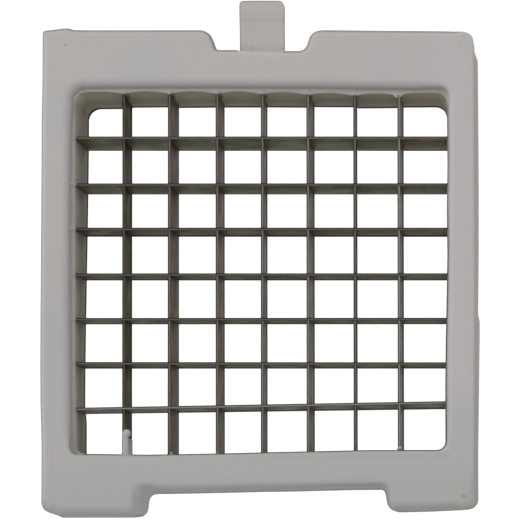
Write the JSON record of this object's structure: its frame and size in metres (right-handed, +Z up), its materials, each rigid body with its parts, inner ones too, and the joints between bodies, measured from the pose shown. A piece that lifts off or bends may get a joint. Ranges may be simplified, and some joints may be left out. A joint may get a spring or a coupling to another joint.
{
  "type": "french fry cutter blade insert",
  "caption": "Removable blade-grid insert of a french fry cutter: moulded frame on two feet, thin steel strips crossed in a square window, sprung latch tongue on top.",
  "frame": {"origin": "centre of the bounding box's bottom face, on the plane of the left foot's sole; the right foot is 0.75 mm shorter", "axes": "+Z up towards the latch tongue, -Y the cutting side with the front cutting edges, +X to the right seen from the cutting side, where the side rail is"},
  "size_m": [0.0856, 0.019, 0.1017],
  "materials": {
    "grey_plastic": "fine satin moulding texture",
    "tongue_plastic": "fine satin moulding texture",
    "blade_steel": "dull rolled strip with brown and olive stains, brighter ground front edge"
  },
  "bodies": {
    "insert": {"frame_moulding": "grey_plastic", "upright_blade_1": "blade_steel", "upright_blade_2": "blade_steel", "upright_blade_3": "blade_steel", "upright_blade_4": "blade_steel", "upright_blade_5": "blade_steel", "upright_blade_6": "blade_steel", "upright_blade_7": "blade_steel", "level_blade_1": "blade_steel", "level_blade_2": "blade_steel", "level_blade_3": "blade_steel", "level_blade_4": "blade_steel", "level_blade_5": "blade_steel", "level_blade_6": "blade_steel", "level_blade_7": "blade_steel"},
    "latch": {"latch_tongue": "tongue_plastic"}
  },
  "joints": [
    {"name": "latch_flex", "type": "hinge", "parent": "insert", "child": "latch", "pos_m": [0.00032, -0.0026, 0.08905], "axis": [1, 0, 0], "range_deg": [-8, 3], "stiffness_Nm_per_rad": 0.3}
  ]
}
